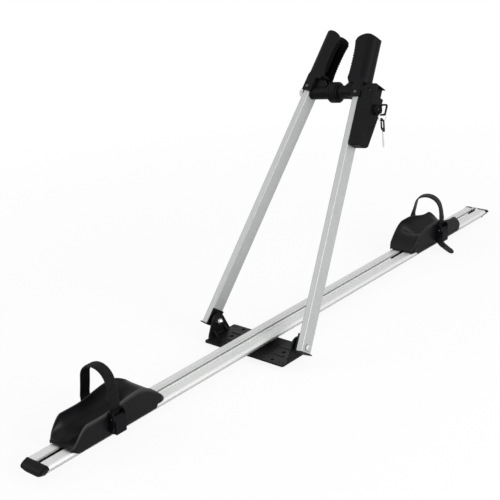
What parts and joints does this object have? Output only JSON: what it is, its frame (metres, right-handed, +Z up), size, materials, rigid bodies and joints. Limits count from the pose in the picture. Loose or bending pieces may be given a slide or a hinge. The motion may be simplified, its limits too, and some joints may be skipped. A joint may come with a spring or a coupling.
{
  "type": "roof mounted bike carrier",
  "caption": "Rail with two sliding wheel trays and straps, and a folding pair of arms whose padded jaws clamp a bicycle frame by a locking cam lever.",
  "frame": {"origin": "middle of the base bracket's underside, where it rests on the roof bar", "axes": "+X along the rail towards the rear tray, +Y to the left across the car, +Z up"},
  "size_m": [1.44, 0.2745, 0.5747],
  "materials": {
    "aluminium_rail": "matt silver anodised extrusion with fine ribs",
    "arm_aluminium": "satin silver anodised tube",
    "black_plastic": "fine grained black moulding",
    "tray_plastic": "satin black moulding",
    "strap_plastic": "flexible black strap, toothed on its outside",
    "black_steel": "black powder coat",
    "zinc_steel": "bright zinc plate",
    "dark_steel": "dark zinc plate",
    "key_steel": "nickel plated",
    "dark_rubber": "dark moulded rubber"
  },
  "bodies": {
    "base": {"rail": "aluminium_rail", "end_cap_front": "black_plastic", "end_cap_rear": "black_plastic", "base_bracket": "black_steel", "rail_rivets": "zinc_steel", "pivot_bolt_left": "zinc_steel", "pivot_bolt_right": "zinc_steel", "dome_nut_left": "zinc_steel", "dome_nut_right": "zinc_steel", "friction_washer_left": "dark_rubber", "friction_washer_right": "dark_rubber"},
    "arm_left_set": {"arm_tube_left": "arm_aluminium", "arm_foot_left": "black_plastic", "jaw_left": "black_plastic", "jaw_pads_left": "dark_rubber", "jaw_screws_left": "dark_steel", "clamp_nut": "zinc_steel", "clamp_rod": "zinc_steel", "lever_pin": "zinc_steel"},
    "arm_right_set": {"arm_tube_right": "arm_aluminium", "arm_foot_right": "black_plastic", "jaw_right": "black_plastic", "jaw_pads_right": "dark_rubber", "jaw_screws_right": "dark_steel", "clamp_washer": "zinc_steel"},
    "lever": {"cam_lever": "black_plastic", "lock_housing": "black_plastic"},
    "lock": {"lock_plug": "key_steel", "lock_cam": "key_steel", "key_bow": "black_plastic", "key_blade": "key_steel"},
    "ring": {"key_ring": "key_steel"},
    "spare_key": {"spare_key_bow": "black_plastic", "spare_key_blade": "key_steel"},
    "spacer": {"clamp_spacer": "black_plastic"},
    "front_tray": {"wheel_tray_front": "tray_plastic", "slider_front": "zinc_steel", "tray_screws_front": "dark_steel", "strap_front": "strap_plastic", "strap_rivet_front": "dark_steel", "buckle_body_front": "black_plastic", "buckle_pin_front": "zinc_steel"},
    "rear_tray": {"wheel_tray_rear": "tray_plastic", "slider_rear": "zinc_steel", "tray_screws_rear": "dark_steel", "strap_rear": "strap_plastic", "strap_rivet_rear": "dark_steel", "buckle_body_rear": "black_plastic", "buckle_pin_rear": "zinc_steel"},
    "front_trigger": {"buckle_lever_front": "black_plastic"},
    "rear_trigger": {"buckle_lever_rear": "black_plastic"}
  },
  "joints": [
    {"name": "arms_fold", "type": "hinge", "parent": "base", "child": "arm_left_set", "pos_m": [0, 0, 0.03], "axis": [0, 1, 0], "range_deg": [-40, 39]},
    {"name": "right_arm_spread", "type": "hinge", "parent": "arm_left_set", "child": "arm_right_set", "pos_m": [0, -0.1245, 0.03], "axis": [0.8111, 0, -0.585], "range_deg": [0, 0.26]},
    {"name": "lever_open", "type": "hinge", "parent": "arm_left_set", "child": "lever", "pos_m": [0.30984, -0.08991, 0.4596], "axis": [-0.8111, 0, 0.585], "range_deg": [0, 60]},
    {"name": "lock_turn", "type": "hinge", "parent": "lever", "child": "lock", "pos_m": [0.28988, -0.10709, 0.42937], "axis": [0.0703, -0.9928, 0.0974], "range_deg": [0, 90]},
    {"name": "ring_swing", "type": "hinge", "parent": "lock", "child": "ring", "pos_m": [0.28516, -0.12771, 0.42281], "axis": [0.0703, -0.9928, 0.0974], "range_deg": [-90, 25]},
    {"name": "spare_key_swing", "type": "hinge", "parent": "ring", "child": "spare_key", "pos_m": [0.28516, -0.12771, 0.40987], "axis": [0.766, -0.6428, 0], "range_deg": [-15, 15]},
    {"name": "spacer_spin", "type": "hinge", "parent": "arm_left_set", "child": "spacer", "pos_m": [0.30348, 0, 0.45078], "axis": [0.0703, -0.9928, 0.0974], "continuous": true},
    {"name": "front_tray_slide", "type": "slide", "parent": "base", "child": "front_tray", "axis": [1, 0, 0], "range_m": [-0.045, 0.2]},
    {"name": "rear_tray_slide", "type": "slide", "parent": "base", "child": "rear_tray", "axis": [1, 0, 0], "range_m": [-0.15, 0.1]},
    {"name": "front_trigger_press", "type": "hinge", "parent": "front_tray", "child": "front_trigger", "pos_m": [-0.418, -0.04524, 0.05323], "axis": [-1, 0, 0], "range_deg": [0, 25], "stiffness_Nm_per_rad": 0.05},
    {"name": "rear_trigger_press", "type": "hinge", "parent": "rear_tray", "child": "rear_trigger", "pos_m": [0.616, -0.04524, 0.05323], "axis": [-1, 0, 0], "range_deg": [0, 25], "stiffness_Nm_per_rad": 0.05}
  ],
  "couplings": [
    {"joint": "right_arm_spread", "follows": "lever_open", "ratio": 0.0043242}
  ]
}
